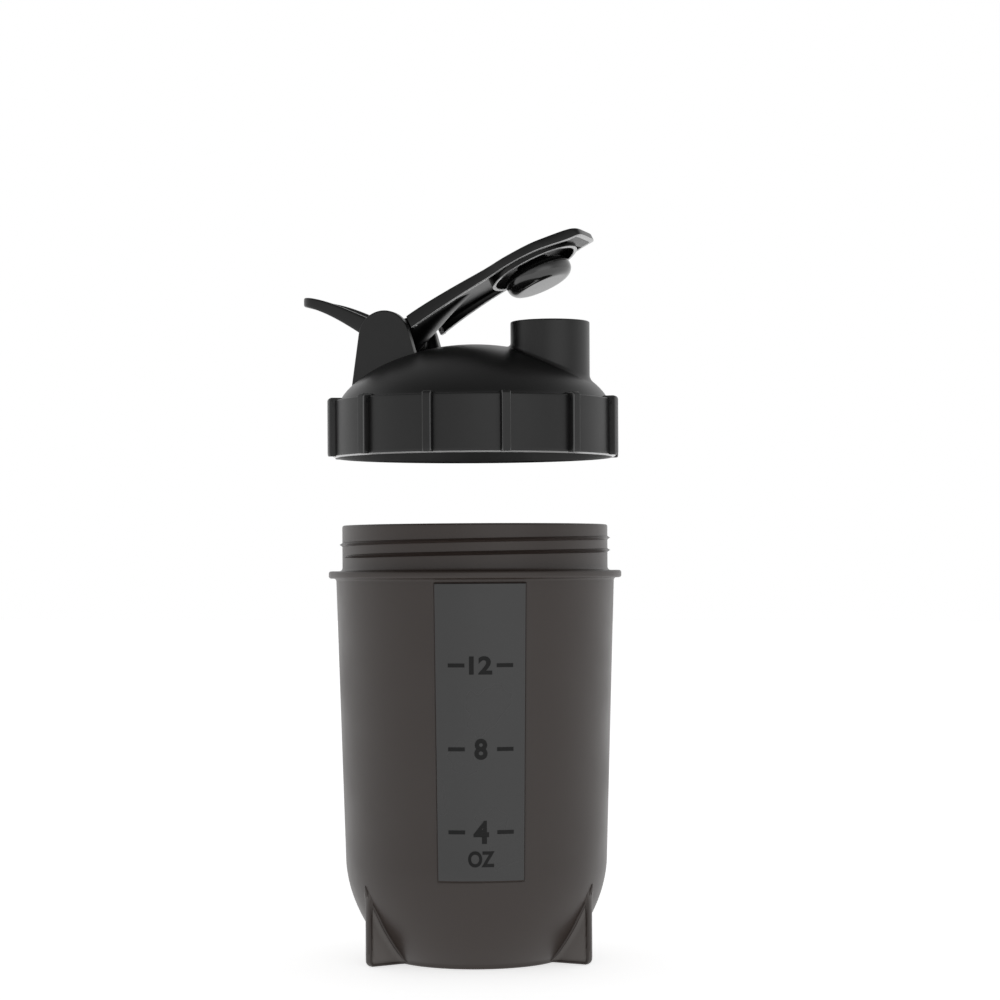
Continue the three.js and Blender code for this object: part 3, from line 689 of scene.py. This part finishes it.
def plate_grid(outline, low, high, edge):
    """A flat plate from a closed outline of (x, z) points: its rim is rounded by moving the
    outline in along its own normals as it nears each face."""
    outline = np.asarray(outline, float)
    along = np.roll(outline, -1, 0) - np.roll(outline, 1, 0)
    along /= np.linalg.norm(along, axis=1, keepdims=True)
    inward = np.stack([-along[:, 1], along[:, 0]], 1)
    inward *= np.sign(doubled_area(outline))
    bend = np.linspace(0, np.pi / 2, 6)
    inward_by, along_by = edge * (1 - np.cos(bend)), edge * (1 - np.sin(bend))
    inset = np.concatenate([[edge + 0.35], inward_by[::-1], inward_by, [edge + 0.35]])
    level = np.concatenate([[low], low + along_by[::-1], high - along_by, [high]])
    rings = outline[None] + inward[None] * inset[:, None, None]
    return np.stack([rings[..., 0], np.repeat(level[:, None], len(outline), 1), rings[..., 1]], -1)


def even_outline(corners, count):
    """Points at even steps along a closed outline of straight stretches."""
    loop = np.concatenate([corners, corners[:1]])
    run = np.concatenate([[0], np.cumsum(np.linalg.norm(np.diff(loop, axis=0), axis=1))])
    at = np.linspace(0, run[-1], count, endpoint=False)
    return np.stack([np.interp(at, run, loop[:, k]) for k in (0, 1)], 1)


ear_outline = np.concatenate([
    [(-34.7 - HINGE[0], 19.6), (-13.4 - HINGE[0], 28.4), (-14.2 - HINGE[0], 31.4)],
    arc(0, HINGE[2] - LID_LOW, EAR_R, 14, 172, 24), [(-34.3 - HINGE[0], 21.2)],
])
ear_outline = even_outline(ear_outline, 150)
for side, name in ((-1, "right_ear"), (1, "left_ear")):
    low, high = sorted((side * EAR_INNER_Y, side * EAR_OUTER_Y))
    ear = plate_grid(ear_outline, low, high, EAR_EDGE) + np.array([HINGE[0], 0, LID_LOW])
    add_piece(name, [(ear, False)], black, "lid", "lid", sharp=50)

# ------------------------------------------------------------------ seal ring
# A flat ring of grey silicone pressed up against the lid's ceiling, outside the plug ring.

ring_low, ring_high = (np.array(corner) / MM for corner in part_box("seal_ring"))
SEAL_INNER_R = 37.7
seal_profile = np.array([
    (SEAL_INNER_R, ring_low[2] + 0.3), (SEAL_INNER_R + 0.3, ring_low[2]),
    (ring_high[0] - 0.3, ring_low[2]), (ring_high[0], ring_low[2] + 0.3),
    (ring_high[0], ring_high[2] - 0.3), (ring_high[0] - 0.3, ring_high[2]),
    (SEAL_INNER_R + 0.3, ring_high[2]), (SEAL_INNER_R, ring_high[2] - 0.3),
])
# Rubber has a soft, slightly waxy skin with no sharp highlight.
silicone = moulded_plastic("grey silicone rubber, satin", "#6c6c6a", 0.55, 0.4, 0.01)
add_piece("silicone_seal", [(turned(seal_profile), True)], silicone, "seal", "seal_ring")

# ------------------------------------------------------------------ flip cap
# One injection moulding in the same black polypropylene: a thin plate with a flange round it,
# a ring under its head that drops over the spout, a thumb tab, and a knuckle with stub axles
# that a tapering ramp joins to the plate. Its own axes are along the plate from the hinge,
# across, and square to the plate.

CAP_OPEN = -flip_joint["range_deg"][0]
CAP_SLOPE = 3.7
CAP_PLATE, CAP_WALL, CAP_EDGE = 1.5, 1.5, 0.45
CAP_START, CAP_TIP, CAP_POCKET_END = 9.2, 66.8, 60.5
CAP_HEAD_X, CAP_MOUTH_HALF = 48.0, 12.8
HALF_PLAN = [(CAP_START, 0), (CAP_START, 14.5), (CAP_START, 14.5), (18, 13.5), (30, 12.8),
             (38, 13.0), (43, 14.8), (53, 15.0), (58.5, 11.8), (63, 9.3), (65.6, 8.9),
             (CAP_TIP, 7.6), (CAP_TIP, 0)]
TOP_LINE = [(CAP_START, 2.2), (12, 2.6), (18, 3.15), (28, 3.55), (40, 3.5), (60, 3.25), (64, 2.95),
            (CAP_TIP, 2.0)]
FLANGE_LINE = [(CAP_START, -1.75), (18, -0.6), (30, 0.45), (44, 0.8), (56, 0.5), (62, 0),
               (CAP_TIP, -0.2)]


def tilt(points, degrees):
    """Turns points up about the hinge axis and moves them to it."""
    t = math.radians(degrees)
    x = points[..., 0] * math.cos(t) - points[..., 2] * math.sin(t)
    z = points[..., 0] * math.sin(t) + points[..., 2] * math.cos(t)
    return np.stack([x, points[..., 1], z], -1) + HINGE


def rounded_line(points, passes=3):
    """Chaikin's corner cutting, which keeps the two ends."""
    line = np.asarray(points, float)
    for _ in range(passes):
        near = 0.75 * line[:-1] + 0.25 * line[1:]
        far = 0.25 * line[:-1] + 0.75 * line[1:]
        cut = np.stack([near, far], 1).reshape(-1, 2)
        line = np.concatenate([line[:1], cut, line[-1:]])
    return line


def cap_plan():
    """The plate's outline, its right half mirrored from its left, at even steps, with extra
    points at its corners, at the hinge end's mouth and where the pocket ends."""
    line = rounded_line(HALF_PLAN)
    run = np.concatenate([[0], np.cumsum(np.linalg.norm(np.diff(line, axis=0), axis=1))])
    wall = np.interp(CAP_POCKET_END, line[:, 0], run)
    at = np.unique(np.concatenate([
        np.linspace(0, run[-1], 110), run[np.flatnonzero(np.diff(run) == 0)][:1],
        CAP_MOUTH_HALF + np.array([-0.06, 0.06]), wall + np.array([-0.5, -0.2, 0.2, 0.5])]))
    half_line = np.stack([np.interp(at, run, line[:, k]) for k in (0, 1)], 1)
    return np.concatenate([half_line, half_line[-2:0:-1] * (1, -1)])


def inset_plan(by):
    """The outline moved in along its own normals."""
    along = np.roll(plan, -1, 0) - np.roll(plan, 1, 0)
    along /= np.linalg.norm(along, axis=1, keepdims=True)
    return plan + np.stack([-along[:, 1], along[:, 0]], 1) * by


def along_line(knots, u):
    """The height at u on a line through knots with its corners cut."""
    line = rounded_line(knots)
    return np.interp(u, line[:, 0], line[:, 1])


def cap_row(inset, height, share=1.0, crown=0.0):
    """One row of the shell: the inset outline, narrowed by share towards the middle line. Height
    is a number for each point, or a function of the distance from the hinge."""
    flat = inset_plan(inset) * (1, share)
    z = height(flat[:, 0]) if callable(height) else height
    return np.stack([flat[:, 0], flat[:, 1], z + crown * (1 - share ** 2)], -1)


def cap_top(u):
    """The height of the plate's upper face at u from the hinge."""
    return along_line(TOP_LINE, u)


plan = cap_plan()
if doubled_area(plan) < 0:
    plan = plan[::-1]
rim_top, flange = cap_top(plan[:, 0]), along_line(FLANGE_LINE, plan[:, 0])
open_end = (plan[:, 0] < CAP_START + 0.1) & (np.abs(plan[:, 1]) < CAP_MOUTH_HALF)
flange = np.where(open_end, rim_top - CAP_PLATE, flange)
in_pocket = np.clip((CAP_POCKET_END + 0.9 - inset_plan(CAP_WALL + 0.5)[:, 0]) / 0.4, 0, 1)
ceiling = (rim_top - CAP_PLATE) * in_pocket + flange * (1 - in_pocket)
bends = np.linspace(0, np.pi / 2, 6)
rows = [cap_row(0.9, cap_top, share, 0.15) for share in (0, 0.25, 0.5, 0.75, 0.9)]
rows += [cap_row(CAP_EDGE * (1 - np.sin(bend)), rim_top - CAP_EDGE * (1 - np.cos(bend)))
         for bend in bends]
rows += [cap_row(0.15 * (1 - np.cos(bend)), flange + 0.15 * (1 - np.sin(bend)))
         for bend in bends[::2]]
rows += [cap_row(CAP_WALL + extra, flange * (1 - up) + ceiling * up)
         for extra, up in ((-0.15, 0), (0, 0.06), (0, 0.7), (0.2, 0.92), (0.5, 1))]
rows += [cap_row(CAP_WALL + 0.5, ceiling, share) for share in (0.8, 0.5, 0.25, 0)]
cap_shell = tilt(np.stack(rows), CAP_OPEN + CAP_SLOPE)

ring_profile = [(12.9, 2.6), (12.9, -0.75), (13.05, -0.9), (13.85, -0.9), (14, -0.75), (14, 2.6)]
head_ring = tilt(turned(ring_profile, 128, (CAP_HEAD_X, 0)), CAP_OPEN + CAP_SLOPE)


def cross_bar(radius, half_length, edge, columns=64):
    """A round bar along the hinge axis with rounded ends."""
    bend = np.linspace(0, np.pi / 2, 5)
    r = np.concatenate([[0, radius - edge - 0.4], radius - edge * (1 - np.sin(bend))])
    y = edge * (1 - np.cos(bend)) - half_length
    y = np.concatenate([[-half_length, -half_length], y])
    r = np.concatenate([r, r[::-1]])
    y = np.concatenate([y, -y[::-1]])
    around = np.linspace(0, 2 * np.pi, columns, endpoint=False)
    return np.stack([r[:, None] * np.cos(around), np.repeat(y[:, None], columns, 1),
                     r[:, None] * np.sin(around)], -1)


def ramp_grid():
    """The ramp under the plate: sections that are flat on top and half round below, which narrow
    and shallow from the knuckle to a point, closed inside the plate."""
    u = np.linspace(1.5, 27, 32)[:, None]
    top = along_line([(1.5, 4.6), (12, 2.4), (27, 2.5)], u)
    bottom = along_line([(1.5, -5.6), (6, -4.4), (11, -2.7), (17, -0.5), (27, 2.0)], u)
    width = 7.1 - 4.7 * smooth((u - 9) / 18)
    around = np.linspace(0, 2 * np.pi, 48, endpoint=False)[None, :]
    y = width * np.sign(np.cos(around)) * np.abs(np.cos(around)) ** 0.75
    z = top + (bottom - top) * np.maximum(np.sin(around), 0) ** 0.8
    return np.stack([np.broadcast_to(u, y.shape), y, z], -1)


KNUCKLE_R, KNUCKLE_HALF, AXLE_R, AXLE_HALF = 6.0, 7.2, 2.8, 13.3
knuckle = tilt(cross_bar(KNUCKLE_R, KNUCKLE_HALF, 0.5), 0)
axle = tilt(cross_bar(AXLE_R, AXLE_HALF, 0.3, 32), 0)
ramp = tilt(ramp_grid(), CAP_OPEN + CAP_SLOPE)
# The same black plastic from a shinier mould: its edges catch crisp highlights.
cap_black = moulded_plastic("black polypropylene, semi-gloss moulded", "#070707", 0.32, 0.45, 0.008,
                            specular=0.34)
# The flange's lower edge and the ring's lower rim are drawn in the pale, shiny band: a painted
# glint.
lower_edge = np.zeros(cap_shell.shape[:2], np.int32)[:-1]
lower_edge[11:15] = 1
add_piece("cap_plate", [(cap_shell, False)], [cap_black, bright_edge], "cap", "flip_cap",
          sharp=40, detail=lower_edge.reshape(-1))
ring_edge = np.zeros(head_ring.shape[:2], np.int32)
ring_edge[1:4] = 1
add_piece("cap_ring", [(head_ring, True)], [cap_black, bright_edge], "cap", "flip_cap",
          detail=ring_edge.reshape(-1))
add_piece("cap_knuckle", [(knuckle, False)], cap_black, "cap", "flip_cap")
add_piece("cap_axle", [(axle, False)], cap_black, "cap", "flip_cap")
add_piece("cap_ramp", [(ramp, False)], cap_black, "cap", "flip_cap", sharp=60)

# ------------------------------------------------------------------ spout stopper
# A round plug in soft black plastic with a polished face, held by its neck in the cap's head.
# It stands within two degrees of upright in the spout when the cap is closed.

STOPPER_X, STOPPER_R, STOPPER_LOW, STOPPER_THICK = SPOUT_X - HINGE[0], 10.3, -3.6, 6.4
STOPPER_LEAN, STOPPER_EDGE = 2.0, 3.0
stopper_top = STOPPER_LOW + STOPPER_THICK
stopper_profile = np.concatenate([
    [(0, STOPPER_LOW), (6.9, STOPPER_LOW)],
    arc(STOPPER_R - STOPPER_EDGE, STOPPER_LOW + STOPPER_EDGE, STOPPER_EDGE, -86, 0, 9),
    arc(STOPPER_R - STOPPER_EDGE, stopper_top - STOPPER_EDGE, STOPPER_EDGE, 0, 84, 9),
    [(6.2, stopper_top), (5.4, stopper_top + 0.15), (5, stopper_top + 0.5), (5, 4.3), (0, 4.3)],
])
# A polished mould face on soft plastic gives it a wet look: it mirrors the pale floor.
plug_rubber = moulded_plastic("black soft plastic, polished", "#0e0e0e", 0.15, 0.6, 0.003,
                              specular=1.0)
stopper_middle = np.array([STOPPER_X, 0, STOPPER_LOW + STOPPER_THICK / 2])
stopper_grid = turned(stopper_profile, 128, (STOPPER_X, 0)) - stopper_middle
stopper_grid = tilt(stopper_grid, STOPPER_LEAN) - HINGE + stopper_middle
add_piece("stopper", [(tilt(stopper_grid, CAP_OPEN), False)], plug_rubber, "cap",
          "spout_stopper", sharp=30)

# ------------------------------------------------------------------ carry loop
# A finger loop in black polypropylene: two straps from eyes on the cap's axles, arched and
# thinning towards a cross bar with rounded corners.

LOOP_MIDDLE_Y = 9.35
LOOP_LINE = [(-4, 1.9), (-8, 3.8), (-15.5, 8), (-22.8, 10.7), (-29.5, 12.1)]
LOOP_THICKNESS = [5.9, 5.3, 3.9, 3.4, 2.7]
LOOP_END_X, LOOP_CORNER, STRAP_WIDTH, BAR_WIDTH, SQUARENESS = -28.5, 5.0, 3.1, 4.0, 0.34
EYE_R, EYE_BORE_R, EYE_INNER_Y, EYE_OUTER_Y, EYE_EDGE = 5.8, 3.2, 7.8, 10.9, 0.4


def loop_grid():
    """A rounded section carried along a U in plan: out along one strap, round a corner, across
    and back. The height and the thickness follow the distance from the hinge."""
    end_x = LOOP_END_X + 1.9
    turn_r = LOOP_CORNER - STRAP_WIDTH / 2
    corner = arc(end_x + turn_r, LOOP_MIDDLE_Y - turn_r, turn_r, 90, 180, 12)
    straight = np.stack([np.linspace(-3, end_x + turn_r, 30)[:-1], np.repeat(LOOP_MIDDLE_Y, 29)], 1)
    across = np.stack([np.repeat(end_x, 5), np.linspace(corner[-1, 1], 0, 6)[1:]], 1)
    half_path = np.concatenate([straight, corner, across])
    path = np.concatenate([half_path, half_path[-2::-1] * (1, -1)])
    along = np.gradient(path, axis=0)
    along /= np.linalg.norm(along, axis=1, keepdims=True)
    out = np.stack([along[:, 1], -along[:, 0]], 1)
    knots = np.array(LOOP_LINE)
    fit = np.polyfit(knots[:, 0], knots[:, 1], 3)
    thick_fit = np.polyfit(knots[:, 0], LOOP_THICKNESS, 3)
    around = np.linspace(0, 2 * np.pi, 40, endpoint=False)
    cos, sin = np.cos(around), np.sin(around)
    wide = np.sign(cos) * np.abs(cos) ** SQUARENESS
    tall = np.sign(sin) * np.abs(sin) ** SQUARENESS
    at_bar = smooth((end_x + turn_r - path[:, 0]) / turn_r)[:, None]
    half_width = STRAP_WIDTH / 2 + (BAR_WIDTH - STRAP_WIDTH) / 2 * at_bar
    xy = path[:, None] + out[:, None] * (wide[None] * half_width)[..., None]
    x = np.clip(xy[..., 0], LOOP_END_X, None)
    tangent = np.polyval(np.polyder(fit), x)
    lean = 1 / np.hypot(1, tangent)
    z = np.polyval(fit, x) + tall[None] * np.polyval(thick_fit, x) / 2 / lean
    return np.stack([xy[..., 0], xy[..., 1], z], -1)


def eye_grid(side):
    """A short tube along the hinge axis, with rounded edges."""
    low, high, out, bore, edge = EYE_INNER_Y, EYE_OUTER_Y, EYE_R, EYE_BORE_R, EYE_EDGE
    section = np.array([(bore + edge, low), (out - edge, low), (out, low + edge),
                        (out, high - edge), (out - edge, high), (bore + edge, high),
                        (bore, high - edge), (bore, low + edge)])
    around = np.linspace(0, 2 * np.pi, 64, endpoint=False)
    return np.stack([section[:, :1] * np.cos(around),
                     np.repeat(side * section[:, 1:], 64, 1), section[:, :1] * np.sin(around)], -1)


# A touch smoother than the lid's satin.
loop_black = moulded_plastic("black polypropylene, moulded loop", "#0a0a0a", 0.33, 0.45, 0.01,
                             specular=0.46)
add_piece("finger_loop", [(tilt(loop_grid(), 0), False)], loop_black, "loop", "carry_loop",
          sharp=50)
for side, name in ((-1, "right_eye"), (1, "left_eye")):
    add_piece(f"loop_{name}", [(tilt(eye_grid(side), 0), True)], loop_black, "loop",
              "carry_loop", sharp=50)
